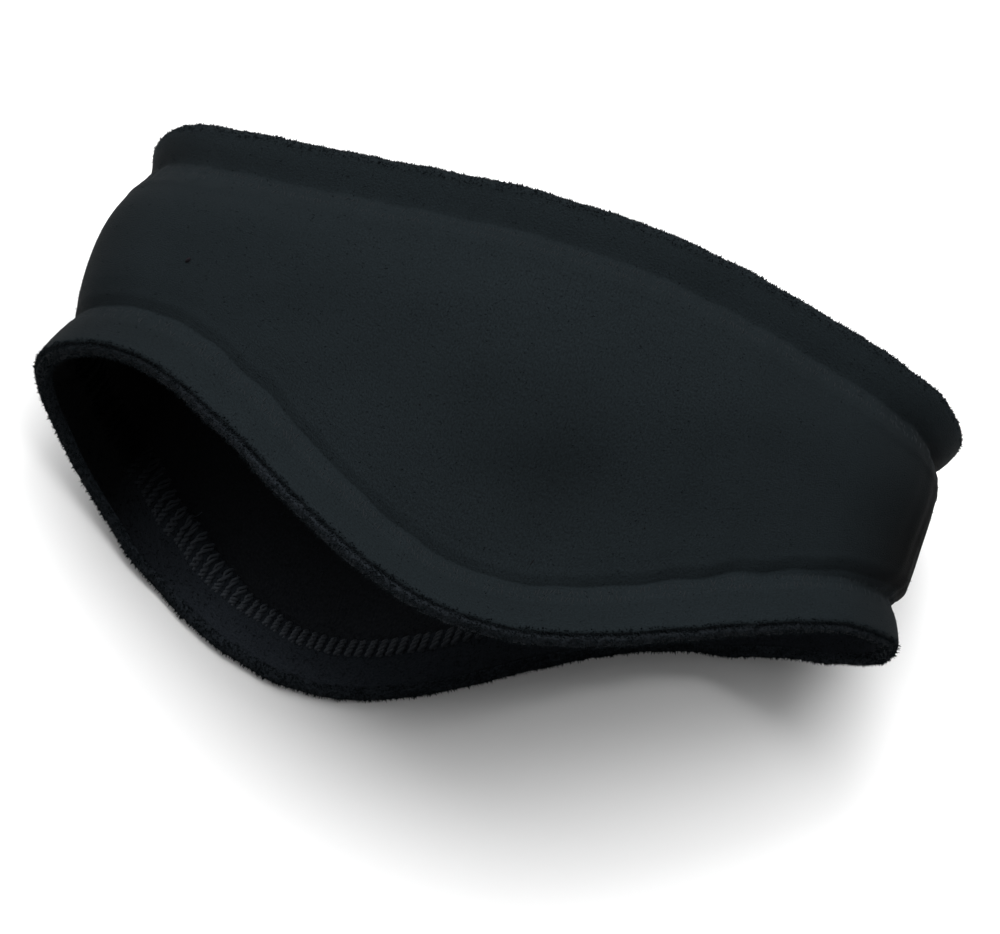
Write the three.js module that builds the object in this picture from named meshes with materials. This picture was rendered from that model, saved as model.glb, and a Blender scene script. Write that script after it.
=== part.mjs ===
// Fleece headband with ear flaps, lying on its side as it would on a table.
// It is one loop of fleece, wider over the ears, with a hem turned in and stitched at each rim.
// Millimetres. Z is up from the surface that it lies on. X runs along the loop from the forehead
// (-X) to the nape (+X). Y runs from the rim with the ear flaps (-Y) to the rim on the crown side (+Y).
import * as THREE from 'three';

// The loop, looked at along Y: an oval whose two walls are squarer than an ellipse
const LOOP_HALF_LENGTH = 118;
const LOOP_HALF_HEIGHT = 44;
const UPPER_SQUARENESS = 2.4;
const UNDER_SQUARENESS = 2.1;

// It lies on its under wall: that much of the oval is pressed flat, with a short bend at its edge
const FLATTENED = 4;
const FLOOR_BEND = 2;

// The cloth
const CLOTH = 2.6;
const LAYER_GAP = 0.3;
const HEM_THICKNESS = 2 * CLOTH + LAYER_GAP;
const HEM_DEPTH = 17;
const SEAM_WIDTH = 6;
const TOP_PINCH = HEM_DEPTH - SEAM_WIDTH;
const BOTTOM_PINCH = HEM_DEPTH - 1;

// Where the two rims pass the ends of the loop, measured along Y
const FRONT_END = { top: 1.2, bottom: -70 };
const BACK_END = { top: 5, bottom: -61.5 };

// The ear flaps of the lower rim, and the slight arches of the crown-side rim over each ear, each with
// the small places where the rim is drawn in or stands up near an end of the loop.
// shift is how far a curve's middle lies towards the nape from the wall's middle. reach and sharpness
// are given towards the forehead, then towards the nape: how far the curve runs along the loop, and
// whether it runs out full, below 1, or hollow, above 1.
const FLAPS = [
  { wall: 'upper', shift: 9.5, height: 48, reach: [116, 141], sharpness: [0.83, 1.19] },
  { wall: 'under', shift: -26, height: 48.8, reach: [113, 121], sharpness: [0.9, 1.3] },
  { wall: 'under', shift: 106, height: -2.3, reach: [48, 30], sharpness: [1, 1] },
];
const ARCHES = [
  { wall: 'upper', shift: 15.5, height: 7.5, reach: [93, 100], sharpness: [1, 1] },
  { wall: 'under', shift: -16, height: 8.5, reach: [98, 98], sharpness: [1, 1] },
  { wall: 'upper', shift: -112, height: 1.8, reach: [28, 26], sharpness: [1, 1] },
  { wall: 'upper', shift: 130, height: -2.2, reach: [22, 30], sharpness: [1, 1] },
];

// How far the cloth stands out of the plain loop, along the walls, and at the forehead and nape ends:
// the flares of its rims, and the depth and half width of the pinches at its seams
const STAND_OUT = {
  walls: { topFlare: 3.5, bottomFlare: 4, topPinch: 1.5, bottomPinch: 1.5, pinchHalfWidth: 4 },
  front: { topFlare: 3.5, bottomFlare: 1.2, topPinch: 1, bottomPinch: 4.2, pinchHalfWidth: 7 },
  back: { topFlare: 3, bottomFlare: 1.5, topPinch: 2.4, bottomPinch: 2.6, pinchHalfWidth: 4 },
};
const FLARE_POWER = 1.2;
const END_FOCUS = 3;
const FRONT_LEAN = 6.2;
const BACK_LEAN = 2.4;

// At the forehead end, the top hem draws the cloth in over this much of its height
const FRONT_DRAW = 4.3;
const DRAW_REACH = 15;
const DRAW_POWER = 4;

// The shallow dent in the middle of the upper wall
const DENT_DEPTH = 3.5;
const DENT_REACH = 55;
const DENT_SHIFT = 5;

// Facets
const STATIONS = 80;
const LIP_STEPS = 3;
const BODY_STEPS = 5;
const OVAL_SAMPLES = 4000;

// Slopes are taken over these steps, along the loop and as a share of its height
const SLOPE_STEP = 1;
const SLOPE_SHARE = 0.01;

// A superellipse point: |x/a|^n + |z/b|^n = 1, with its own n above and below
function ovalPoint(turn) {
  const cosine = Math.cos(turn);
  const sine = Math.sin(turn);
  const squareness = sine >= 0 ? UPPER_SQUARENESS : UNDER_SQUARENESS;
  const x = LOOP_HALF_LENGTH * Math.sign(cosine) * Math.abs(cosine) ** (2 / squareness);
  const z = LOOP_HALF_HEIGHT * Math.sign(sine) * Math.abs(sine) ** (2 / squareness);
  return { x, z };
}

// The oval's points by the distance walked round it, from the nape end over the upper wall
function walkOval() {
  const points = [{ ...ovalPoint(0), walked: 0 }];
  for (let i = 1; i <= OVAL_SAMPLES; i += 1) {
    const point = ovalPoint((2 * Math.PI * i) / OVAL_SAMPLES);
    const last = points[i - 1];
    point.walked = last.walked + Math.hypot(point.x - last.x, point.z - last.z);
    points.push(point);
  }
  return points;
}

const OVAL = walkOval();
const GIRTH = OVAL[OVAL_SAMPLES].walked;
const WALL_MIDDLES = { upper: OVAL[OVAL_SAMPLES / 4].walked, under: OVAL[(3 * OVAL_SAMPLES) / 4].walked };

function onOval(along) {
  const walked = ((along % GIRTH) + GIRTH) % GIRTH;
  let low = 0;
  let high = OVAL_SAMPLES;
  while (high - low > 1) {
    const middle = Math.floor((low + high) / 2);
    if (OVAL[middle].walked <= walked) {
      low = middle;
    } else {
      high = middle;
    }
  }
  const share = (walked - OVAL[low].walked) / (OVAL[high].walked - OVAL[low].walked);
  return {
    x: THREE.MathUtils.lerp(OVAL[low].x, OVAL[high].x, share),
    z: THREE.MathUtils.lerp(OVAL[low].z, OVAL[high].z, share),
  };
}

// Distance along the loop from a place on one wall, positive towards the nape
function towardsNape(along, wall, shift) {
  const direction = wall === 'upper' ? -1 : 1;
  const gap = direction * (along - WALL_MIDDLES[wall]) - shift;
  return ((((gap + GIRTH / 2) % GIRTH) + GIRTH) % GIRTH) - GIRTH / 2;
}

// The curve of a rim: each row of the table is a half cosine wave that falls to 0 at its reach
function humps(along, table) {
  let sum = 0;
  for (const row of table) {
    const distance = towardsNape(along, row.wall, row.shift);
    const side = distance > 0 ? 1 : 0;
    const share = Math.min(Math.abs(distance) / row.reach[side], 1);
    sum += row.height * (0.5 * (1 + Math.cos(Math.PI * share))) ** row.sharpness[side];
  }
  return sum;
}

// The two rims' places along Y at one station
function rims(along) {
  const backShare = (1 + onOval(along).x / LOOP_HALF_LENGTH) / 2;
  const top = THREE.MathUtils.lerp(FRONT_END.top, BACK_END.top, backShare) + humps(along, ARCHES);
  const bottom = THREE.MathUtils.lerp(FRONT_END.bottom, BACK_END.bottom, backShare) - humps(along, FLAPS);
  return { top, bottom };
}

// A station also knows how steeply each rim runs, because a hem is as deep square to its rim everywhere
function station(along) {
  const { top, bottom } = rims(along);
  const before = rims(along - SLOPE_STEP);
  const after = rims(along + SLOPE_STEP);
  const topSlope = (after.top - before.top) / (2 * SLOPE_STEP);
  const bottomSlope = (after.bottom - before.bottom) / (2 * SLOPE_STEP);
  return {
    along,
    top,
    height: top - bottom,
    topSquare: 1 / Math.hypot(1, topSlope),
    bottomSquare: 1 / Math.hypot(1, bottomSlope),
  };
}

// How far the outer face stands out of the loop, share being 0 at the top rim and 1 at the bottom rim
function standOut(place, share, lengthwise, upward) {
  const fromTop = share * place.height * place.topSquare;
  const fromBottom = (1 - share) * place.height * place.bottomSquare;
  const front = Math.max(-lengthwise, 0) ** END_FOCUS;
  const back = Math.max(lengthwise, 0) ** END_FOCUS;
  const walls = 1 - front - back;
  const mix = (name) => STAND_OUT.walls[name] * walls + STAND_OUT.front[name] * front
    + STAND_OUT.back[name] * back;
  const topFlare = mix('topFlare') * Math.max(1 - fromTop / TOP_PINCH, 0) ** FLARE_POWER;
  const bottomFlare = mix('bottomFlare') * Math.max(1 - fromBottom / BOTTOM_PINCH, 0) ** FLARE_POWER;
  const groove = (distance) => Math.exp(-((distance / mix('pinchHalfWidth')) ** 2));
  const topPinch = mix('topPinch') * groove(fromTop - TOP_PINCH);
  const bottomPinch = mix('bottomPinch') * groove(fromBottom - BOTTOM_PINCH);
  const draw = FRONT_DRAW * front * Math.exp(-((fromTop / DRAW_REACH) ** DRAW_POWER));
  const aboveBody = Math.max(fromTop - TOP_PINCH, 0);
  const belowBody = Math.max(fromBottom - BOTTOM_PINCH, 0);
  const acrossDent = (4 * aboveBody * belowBody) / (aboveBody + belowBody) ** 2;
  const alongDent = Math.exp(-((towardsNape(place.along, 'upper', DENT_SHIFT) / DENT_REACH) ** 2));
  const dent = DENT_DEPTH * alongDent * acrossDent * upward;
  return topFlare + bottomFlare - topPinch - bottomPinch - draw - dent;
}

// The surface underneath presses the cloth flat, and the cloth rises from it in a short bend
function settle(z) {
  if (Math.abs(z) < FLOOR_BEND) {
    return (z + FLOOR_BEND) ** 2 / (4 * FLOOR_BEND);
  }
  return Math.max(z, 0);
}

// A point of the cloth's outer face
function outerPoint(along, share) {
  const place = station(along);
  const here = onOval(along);
  const before = onOval(along - SLOPE_STEP);
  const after = onOval(along + SLOPE_STEP);
  const step = Math.hypot(after.x - before.x, after.z - before.z);
  const outX = (after.z - before.z) / step;
  const outZ = -(after.x - before.x) / step;
  const lengthwise = THREE.MathUtils.clamp(here.x / LOOP_HALF_LENGTH, -1, 1);
  const upward = Math.max(here.z / LOOP_HALF_HEIGHT, 0);
  const out = standOut(place, share, lengthwise, upward);
  const lean = FRONT_LEAN * Math.max(-lengthwise, 0) ** 2 - BACK_LEAN * Math.max(lengthwise, 0) ** 2;
  const x = here.x + outX * out - lean * (share - 0.5);
  const y = place.top - share * place.height;
  const z = here.z + outZ * out + LOOP_HALF_HEIGHT - FLATTENED;
  return new THREE.Vector3(x, y, settle(z));
}

// The point at a depth under the outer face, measured square to it
function clothPoint(along, share, depth) {
  const point = outerPoint(along, share);
  const round = outerPoint(along + SLOPE_STEP, share).sub(outerPoint(along - SLOPE_STEP, share));
  const down = outerPoint(along, Math.min(share + SLOPE_SHARE, 1))
    .sub(outerPoint(along, Math.max(share - SLOPE_SHARE, 0)));
  const inward = down.cross(round).normalize();
  return point.addScaledVector(inward, depth);
}

// One corner of a cross-section: a distance square to a rim, or a share of the body between the pinches
const fromTop = (distance, depth) => ({ rim: 'top', distance, depth });
const fromBottom = (distance, depth) => ({ rim: 'bottom', distance, depth });
const onBody = (portion, depth) => ({ rim: 'body', portion, depth });

function shareAt(place, corner) {
  const topShare = (distance) => distance / (place.height * place.topSquare);
  const bottomShare = (distance) => 1 - distance / (place.height * place.bottomSquare);
  if (corner.rim === 'top') {
    return topShare(corner.distance);
  }
  if (corner.rim === 'bottom') {
    return bottomShare(corner.distance);
  }
  return THREE.MathUtils.lerp(topShare(HEM_DEPTH), bottomShare(HEM_DEPTH), corner.portion);
}

// A closed cross-section carried once round the loop
function loopGeometry(section) {
  const positions = [];
  const faces = [];
  const corners = section.length;
  for (let i = 0; i < STATIONS; i += 1) {
    const place = station((GIRTH * i) / STATIONS);
    for (const corner of section) {
      positions.push(...clothPoint(place.along, shareAt(place, corner), corner.depth).toArray());
    }
  }
  // Each four-sided patch is split from its upper corner here to its lower corner at the next station,
  // so that two layers that lie on each other have the same facets
  const shares = section.map((corner) => shareAt(station(0), corner));
  for (let i = 0; i < STATIONS; i += 1) {
    const here = i * corners;
    const next = ((i + 1) % STATIONS) * corners;
    for (let j = 0; j < corners; j += 1) {
      const k = (j + 1) % corners;
      if (shares[k] > shares[j]) {
        faces.push(here + j, next + k, here + k, here + j, next + j, next + k);
      } else {
        faces.push(here + j, next + j, here + k, here + k, next + j, next + k);
      }
    }
  }
  const geometry = new THREE.BufferGeometry();
  geometry.setAttribute('position', new THREE.Float32BufferAttribute(positions, 3));
  geometry.setIndex(faces);
  geometry.computeVertexNormals();
  return geometry;
}

// The fold at a rim is half round, from the outer face to the inner one
function lip(corner) {
  const radius = HEM_THICKNESS / 2;
  const rows = [];
  for (let i = 0; i <= LIP_STEPS; i += 1) {
    const turn = (Math.PI * i) / LIP_STEPS;
    rows.push(corner(radius * (1 - Math.sin(turn)), radius * (1 - Math.cos(turn))));
  }
  return rows;
}

// Where the fold's own cloth ends, where the turned-in layer starts, and the rows of both from there
const LIP_ROOM = 0.2;
const LIP_END = HEM_THICKNESS / 2 + LIP_ROOM;
const TURN_START = LIP_END + LAYER_GAP;
const HEM_ROWS = [7, 10.5, 13.5, 16];

function hemFace(corner, depth) {
  return HEM_ROWS.map((distance) => corner(distance, depth));
}

function bodyFace(depth) {
  const rows = [];
  for (let i = 0; i <= BODY_STEPS; i += 1) {
    rows.push(onBody(i / BODY_STEPS, depth));
  }
  return rows;
}

// The outer cloth, with the fold at each rim
function bandGeometry() {
  return loopGeometry([
    ...hemFace(fromTop, 0),
    ...bodyFace(0),
    ...hemFace(fromBottom, 0).reverse(),
    ...lip(fromBottom),
    fromBottom(LIP_END, CLOTH),
    ...hemFace(fromBottom, CLOTH),
    ...bodyFace(CLOTH).reverse(),
    ...hemFace(fromTop, CLOTH).reverse(),
    fromTop(LIP_END, CLOTH),
    ...lip(fromTop).reverse(),
  ]);
}

// The layer that is turned in behind a rim and held by the seam
function turnedHemGeometry(corner) {
  const near = CLOTH + LAYER_GAP;
  const section = [
    corner(TURN_START, HEM_THICKNESS),
    ...hemFace(corner, HEM_THICKNESS),
    corner(HEM_DEPTH, HEM_THICKNESS - CLOTH / 4),
    corner(HEM_DEPTH, near + CLOTH / 4),
    ...hemFace(corner, near).reverse(),
    corner(TURN_START, near),
  ];
  return loopGeometry(corner === fromTop ? section.reverse() : section);
}

const fleece = (color) => new THREE.MeshStandardMaterial({ color, roughness: 1, metalness: 0 });

const band = new THREE.Mesh(bandGeometry(), fleece('#20242a'));
band.name = 'band';
const topHem = new THREE.Mesh(turnedHemGeometry(fromTop), fleece('#1b1e23'));
topHem.name = 'top_hem';
const bottomHem = new THREE.Mesh(turnedHemGeometry(fromBottom), fleece('#1b1e23'));
bottomHem.name = 'bottom_hem';

// The origin is under the middle of the headband's box
const headband = new THREE.Group();
headband.add(band, topHem, bottomHem);
const box = new THREE.Box3().setFromObject(headband);
const middle = box.getCenter(new THREE.Vector3());
headband.position.set(-middle.x, -middle.y, -box.min.z);

export default headband;
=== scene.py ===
"""Looks of a fleece headband with ear flaps, lying on its side on a pale table."""

import math

import bpy
import numpy as np
from mathutils import Matrix, Vector


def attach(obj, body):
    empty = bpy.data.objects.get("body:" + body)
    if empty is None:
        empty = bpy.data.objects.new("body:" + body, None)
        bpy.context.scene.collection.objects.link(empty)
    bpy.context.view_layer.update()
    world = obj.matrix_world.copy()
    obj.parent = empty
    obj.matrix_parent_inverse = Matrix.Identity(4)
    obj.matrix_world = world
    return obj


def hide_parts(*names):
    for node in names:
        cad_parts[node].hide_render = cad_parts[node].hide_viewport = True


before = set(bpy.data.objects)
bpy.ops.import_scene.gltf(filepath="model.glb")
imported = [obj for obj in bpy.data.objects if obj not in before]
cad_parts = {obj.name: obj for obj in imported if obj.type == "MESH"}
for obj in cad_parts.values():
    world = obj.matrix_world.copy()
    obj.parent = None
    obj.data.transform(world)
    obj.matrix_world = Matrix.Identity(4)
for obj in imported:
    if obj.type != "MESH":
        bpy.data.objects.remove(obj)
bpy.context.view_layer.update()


# The band
# One loop of stretch fleece, wider over the ears. Its face is brushed short and its back is softer.
# At each rim it is folded inwards, and the fold stands out a little past the seam that pinches it.

MM = 0.001

LOOP_HALF_LENGTH = 118.0
LOOP_HALF_HEIGHT = 44.0
UPPER_SQUARENESS = 2.4
UNDER_SQUARENESS = 2.1
FLATTENED = 4.0
FLOOR_BEND = 2.0

CLOTH = 2.6
LAYER_GAP = 0.3
HEM_THICKNESS = 2 * CLOTH + LAYER_GAP
HEM_DEPTH = 17.0
SEAM_WIDTH = 6.0
TOP_PINCH = HEM_DEPTH - SEAM_WIDTH

FRONT_END = {"top": 1.2, "bottom": -70.0}
BACK_END = {"top": 5.0, "bottom": -61.5}

# Each row is one curve of a rim, along the upper or the under wall: how far its middle lies towards
# the nape, its height, and its reach and sharpness towards the forehead and towards the nape.
FLAPS = [
    {"wall": "upper", "shift": 9.5, "height": 48.0, "reach": (116.0, 141.0), "sharpness": (0.83, 1.19)},
    {"wall": "under", "shift": -26.0, "height": 49.6, "reach": (113.0, 121.0), "sharpness": (0.9, 1.3)},
    {"wall": "under", "shift": 106.0, "height": -2.3, "reach": (48.0, 30.0), "sharpness": (1.0, 1.0)},
]
ARCHES = [
    {"wall": "upper", "shift": 15.5, "height": 7.5, "reach": (93.0, 100.0), "sharpness": (1.0, 1.0)},
    {"wall": "under", "shift": -16.0, "height": 8.5, "reach": (98.0, 98.0), "sharpness": (1.0, 1.0)},
    {"wall": "upper", "shift": -112.0, "height": 1.8, "reach": (28.0, 26.0), "sharpness": (1.0, 1.0)},
    {"wall": "upper", "shift": 130.0, "height": -2.2, "reach": (22.0, 30.0), "sharpness": (1.0, 1.0)},
]
RIM_WAVE = 0.28

# How far the cloth stands out of the plain loop along the walls and at the two ends of the loop: the
# flares of its rims, the depth and half width of the pinches at its seams, and how far the lower pinch
# lies from its rim
STAND_OUT = {
    "walls": {
        "top_flare": 3.0, "bottom_flare": 6.2, "top_pinch": 1.5, "bottom_pinch": 1.2,
        "half_width": 4.5, "place": 16.0,
    },
    "front": {
        "top_flare": 3.3, "bottom_flare": 1.2, "top_pinch": 1.0, "bottom_pinch": 4.2,
        "half_width": 7.0, "place": 16.0,
    },
    "back": {
        "top_flare": 3.4, "bottom_flare": 2.6, "top_pinch": 2.8, "bottom_pinch": 4.0,
        "half_width": 3.6, "place": 12.8,
    },
}
FLARE_POWER = 1.2
PINCH_POWER = 1.45
END_FOCUS = 3
FRONT_LEAN = 6.2
BACK_LEAN = 2.4
FRONT_DRAW = 4.3
DRAW_REACH = 19.0
DRAW_POWER = 3

# The upper wall is crowned, more so towards the crown-side rim, with a hollow past its middle
CROWN = 4.2
SHOULDER = 1.3
HOLLOW_DEPTH = 2.3
HOLLOW_SHIFT = 12.0
HOLLOW_REACH = 26.0
HOLLOW_PORTION = 0.74
HOLLOW_SPREAD = 0.19

# The turned-in layer's end shows on the face as a low welt past the seam, and at the rim with the ear
# flaps the seam's last stitches draw a sharp line
WELT_HEIGHT = 0.3
WELT_DISTANCE = 18.8
WELT_HALF_WIDTH = 1.5
LINE_DEPTH = 0.26
LINE_DISTANCE = 15.9
LINE_HALF_WIDTH = 0.45

# Soft creases square to the rims where the loop bends round at the nape: each one's distance from the
# nape end towards the upper wall, its depth and its half width
NAPE_CREASES = [(3.0, 0.7, 2.0), (8.5, 0.9, 2.4), (14.5, 0.6, 2.2), (21.0, 0.4, 2.6)]
CREASE_POWER = 1.5

# Painted shade on the face, where its colour is made darker: each patch's place along the upper wall
# towards the nape, its portion of the way down the body, how far it reaches along and down, and how
# dark it is painted. Two lie in the hollow, two towards the nape end, and one on each hem at the
# forehead end. Then painted shade at the two bends.
PAINTED_SHADE_PATCHES = [
    (8.0, 0.76, 46.0, 0.36, 0.16),
    (17.0, 0.68, 17.0, 0.17, 0.15),
    (70.0, 0.5, 60.0, 0.6, 0.08),
    (118.0, 0.8, 14.0, 0.35, 0.3),
    (-118.0, -0.07, 40.0, 0.09, 0.3),
    (-118.0, 1.2, 40.0, 0.2, 0.24),
]
NAPE_BEND = {"place": 2.0, "reach": 44.0, "shade": 0.98}
FRONT_BEND = {"place": 272.0, "reach": 32.0, "shade": 0.55}
BEND_POWER = 1.2
# At a bend the hems get this much of the body's shade
BEND_ON_HEMS = 0.4
# Painted light: the colour is made lighter along the seams and on the hems between the bends
SEAM_LIGHT = 0.08
TOP_HEM_LIGHT = 0.12
BOTTOM_HEM_LIGHT = 0.03
TOP_SEAM_MIDDLE = 14.0
BOTTOM_SEAM_MIDDLE = 13.2
SEAM_LIGHT_HALF_WIDTH = 3.2
LIGHT_BLUR = 0.8

# Inside it gets darker towards the forehead end, less so towards the nape end, and away from the rims:
# each ramp's start along X, its length and its darkest shade
FOREHEAD_RAMP = (-52, 38, 0.97)
NAPE_RAMP = (-14, 36, 0.5)
DEEP_SHADE = 0.78
DEEP_REACH = 30

# Small unevenness: soft waves all over, and puckers where the seams gather the cloth
WAVE_HEIGHT = 0.45
PUCKER_DEPTH = 0.28
PUCKER_REACH = 4.5
TOP_PUCKERS = 14
BOTTOM_PUCKERS = 13


def walk_oval(samples=4001):
    """The plain loop, looked at along Y: |x / a|^n + |z / b|^n = 1, with its own n above and below.
    Gives x, z and the distance walked from the nape end over the upper wall."""
    turn = np.linspace(0, 2 * np.pi, samples)
    cosine, sine = np.cos(turn), np.sin(turn)
    power = 2 / np.where(sine >= 0, UPPER_SQUARENESS, UNDER_SQUARENESS)
    x = LOOP_HALF_LENGTH * np.sign(cosine) * np.abs(cosine) ** power
    z = LOOP_HALF_HEIGHT * np.sign(sine) * np.abs(sine) ** power
    walked = np.concatenate([[0], np.cumsum(np.hypot(np.diff(x), np.diff(z)))])
    return x, z, walked


OVAL_X, OVAL_Z, WALKED = walk_oval()
GIRTH = WALKED[-1]
WALL_MIDDLES = {"upper": WALKED[len(WALKED) // 4], "under": WALKED[3 * (len(WALKED) // 4)]}


def on_oval(along):
    """x and z of the plain loop at a distance along it."""
    walked = np.mod(along, GIRTH)
    return np.interp(walked, WALKED, OVAL_X), np.interp(walked, WALKED, OVAL_Z)


def towards_nape(along, wall, shift=0.0):
    """Distance along the loop from a place on a wall, positive towards the nape."""
    direction = -1 if wall == "upper" else 1
    gap = direction * (along - WALL_MIDDLES[wall]) - shift
    return np.mod(gap + GIRTH / 2, GIRTH) - GIRTH / 2


def waves(along, across, shortest, longest, seed, count=16):
    """Unevenness that closes round the loop: the mean of cosine waves of seeded lengths, directions
    and starts, each with a whole number of turns along the loop, scaled to be about 1 at its peaks."""
    random = np.random.default_rng(seed)
    length = random.uniform(shortest, longest, count)
    direction = random.uniform(0, np.pi, count)
    turns = np.round(GIRTH * np.cos(direction) / length)
    total = np.zeros(np.broadcast(along, across).shape)
    for turn, tilt, size, start in zip(turns, direction, length, random.uniform(0, 2 * np.pi, count)):
        total += np.cos(2 * np.pi * (turn * along / GIRTH + np.sin(tilt) * across / size) + start)
    return total / math.sqrt(2 * count)


def humps(along, rows):
    """Sum of half cosine waves, height * (0.5 + 0.5 cos(pi * share)) ^ sharpness, 0 past their reach."""
    total = np.zeros_like(along)
    for row in rows:
        distance = towards_nape(along, row["wall"], row["shift"])
        reach = np.where(distance > 0, row["reach"][1], row["reach"][0])
        sharpness = np.where(distance > 0, row["sharpness"][1], row["sharpness"][0])
        share = np.minimum(np.abs(distance) / reach, 1)
        total += row["height"] * (0.5 + 0.5 * np.cos(np.pi * share)) ** sharpness
    return total


def rims(along):
    """Places of the two rims along Y: a straight line from end to end, the rims' curves, and slight
    waves."""
    back = (1 + on_oval(along)[0] / LOOP_HALF_LENGTH) / 2
    top = FRONT_END["top"] * (1 - back) + BACK_END["top"] * back + humps(along, ARCHES)
    bottom = FRONT_END["bottom"] * (1 - back) + BACK_END["bottom"] * back - humps(along, FLAPS)
    top = top + RIM_WAVE * waves(along, 0.0, 9, 40, seed=1)
    bottom = bottom + RIM_WAVE * waves(along, 0.0, 9, 40, seed=2)
    return top, bottom


def stations(along, step=1.0):
    """What each cross-section of the loop needs: both rims, the height between them, and how far a
    distance square to each rim reaches down the section, 1 / sqrt(1 + slope^2)."""
    top, bottom = rims(along)
    before, after = rims(along - step), rims(along + step)
    return {
        "along": along[:, None],
        "top": top[:, None],
        "height": (top - bottom)[:, None],
        "top_square": 1 / np.hypot(1, (after[0] - before[0]) / (2 * step))[:, None],
        "bottom_square": 1 / np.hypot(1, (after[1] - before[1]) / (2 * step))[:, None],
    }


def from_top(ring, distances):
    """Shares of the section that lie at these distances square to the top rim."""
    return distances / (ring["height"] * ring["top_square"])


def from_bottom(ring, distances):
    """Shares of the section that lie at these distances square to the bottom rim."""
    return 1 - distances / (ring["height"] * ring["bottom_square"])


def on_body(ring, portions):
    """Shares of the section at these portions of the way from one hem's inner end to the other's."""
    high, low = from_top(ring, HEM_DEPTH), from_bottom(ring, HEM_DEPTH)
    return high + (low - high) * portions


def stand_out(ring, share, lengthwise, upward):
    """How far the face stands out of the plain loop: a flare at each rim, a pinch with puckers at each
    seam, the draw of the forehead end, the upper wall's crown and hollow, the welts and lines of the
    seams, the creases of the nape end and the waves."""
    top_distance = share * ring["height"] * ring["top_square"]
    bottom_distance = (1 - share) * ring["height"] * ring["bottom_square"]
    front = np.maximum(-lengthwise, 0) ** END_FOCUS
    back = np.maximum(lengthwise, 0) ** END_FOCUS

    def mix(name):
        ends = STAND_OUT["front"][name] * front + STAND_OUT["back"][name] * back
        return STAND_OUT["walls"][name] * (1 - front - back) + ends

    def bell(distance, half_width):
        return np.exp(-((distance / half_width) ** 2))

    def pinched(distance, half_width):
        return np.exp(-(np.abs(distance / half_width) ** PINCH_POWER))

    bottom_place = mix("place")
    top_flare = mix("top_flare") * np.maximum(1 - top_distance / TOP_PINCH, 0) ** FLARE_POWER
    bottom_flare = mix("bottom_flare") * np.maximum(1 - bottom_distance / bottom_place, 0) ** FLARE_POWER
    pinch = mix("top_pinch") * pinched(top_distance - TOP_PINCH, mix("half_width"))
    pinch = pinch + mix("bottom_pinch") * pinched(bottom_distance - bottom_place, mix("half_width"))
    draw = FRONT_DRAW * front * np.exp(-((top_distance / DRAW_REACH) ** DRAW_POWER))

    above = np.maximum(top_distance - TOP_PINCH, 0)
    below = np.maximum(bottom_distance - bottom_place, 0)
    portion = above / (above + below)
    crown = CROWN * np.sin(np.pi * portion) + SHOULDER * np.sin(2 * np.pi * portion)
    along_hollow = towards_nape(ring["along"], "upper", HOLLOW_SHIFT)
    hollow = HOLLOW_DEPTH * bell(along_hollow, HOLLOW_REACH) * bell(portion - HOLLOW_PORTION, HOLLOW_SPREAD)

    welts = bell(top_distance - WELT_DISTANCE, WELT_HALF_WIDTH)
    welts = welts + bell(bottom_distance - WELT_DISTANCE, WELT_HALF_WIDTH)
    seams = WELT_HEIGHT * welts - LINE_DEPTH * bell(bottom_distance - LINE_DISTANCE, LINE_HALF_WIDTH)
    creases = sum(depth * bell(ring["along"] - place, width) for place, depth, width in NAPE_CREASES)
    creases = creases * np.sin(np.pi * portion) ** CREASE_POWER
    puckers = waves(ring["along"], 0.0, 4.5, 11, seed=3) * bell(top_distance - TOP_PUCKERS, PUCKER_REACH)
    low_puckers = waves(ring["along"], 0.0, 4.5, 11, seed=4)
    puckers = puckers + low_puckers * bell(bottom_distance - BOTTOM_PUCKERS, PUCKER_REACH)
    uneven = WAVE_HEIGHT * waves(ring["along"], share * ring["height"], 18, 60, seed=5)
    shape = top_flare + bottom_flare - pinch - draw + (crown - hollow) * upward
    return shape + seams - creases + PUCKER_DEPTH * puckers + uneven


def painted_face_shade(ring, share):
    """How much painted shade darkens the face's colour: the sum of a bell for each painted patch of the
    upper wall and a peak at each bend of the loop. Below 0 it is painted light, which makes the colour
    lighter along the seams and on the hems between the bends."""
    top_distance = share * ring["height"] * ring["top_square"]
    bottom_distance = (1 - share) * ring["height"] * ring["bottom_square"]
    portion = (top_distance - TOP_PINCH) / (top_distance + bottom_distance - TOP_PINCH - HEM_DEPTH)
    shade = np.zeros_like(portion)
    for shift, place, reach, spread, depth in PAINTED_SHADE_PATCHES:
        away = (towards_nape(ring["along"], "upper", shift) / reach) ** 2 + ((portion - place) / spread) ** 2
        shade = shade + depth * np.exp(-away)
    between_hems = np.clip(1 + portion / 0.1, 0, 1) * np.clip((1.1 - portion) / 0.1, 0, 1)
    between = 1.0
    for bend in (NAPE_BEND, FRONT_BEND):
        near = np.clip(1 - np.abs(ring["along"] - bend["place"]) / bend["reach"], 0, 1)
        shade = shade + bend["shade"] * near**BEND_POWER * (BEND_ON_HEMS + (1 - BEND_ON_HEMS) * between_hems)
        between = between * np.clip(1 - 2 * near, 0, 1)
    for distance, middle in ((top_distance, TOP_SEAM_MIDDLE), (bottom_distance, BOTTOM_SEAM_MIDDLE)):
        inside_seam = SEAM_LIGHT_HALF_WIDTH - np.abs(distance - middle)
        shade = shade - SEAM_LIGHT * np.clip(inside_seam / LIGHT_BLUR, 0, 1)
    on_top_hem = np.clip((TOP_PINCH - top_distance) / LIGHT_BLUR, 0, 1)
    on_bottom_hem = np.clip((LINE_DISTANCE - bottom_distance) / LIGHT_BLUR, 0, 1)
    return shade - between * (TOP_HEM_LIGHT * on_top_hem + BOTTOM_HEM_LIGHT * on_bottom_hem)


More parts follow.
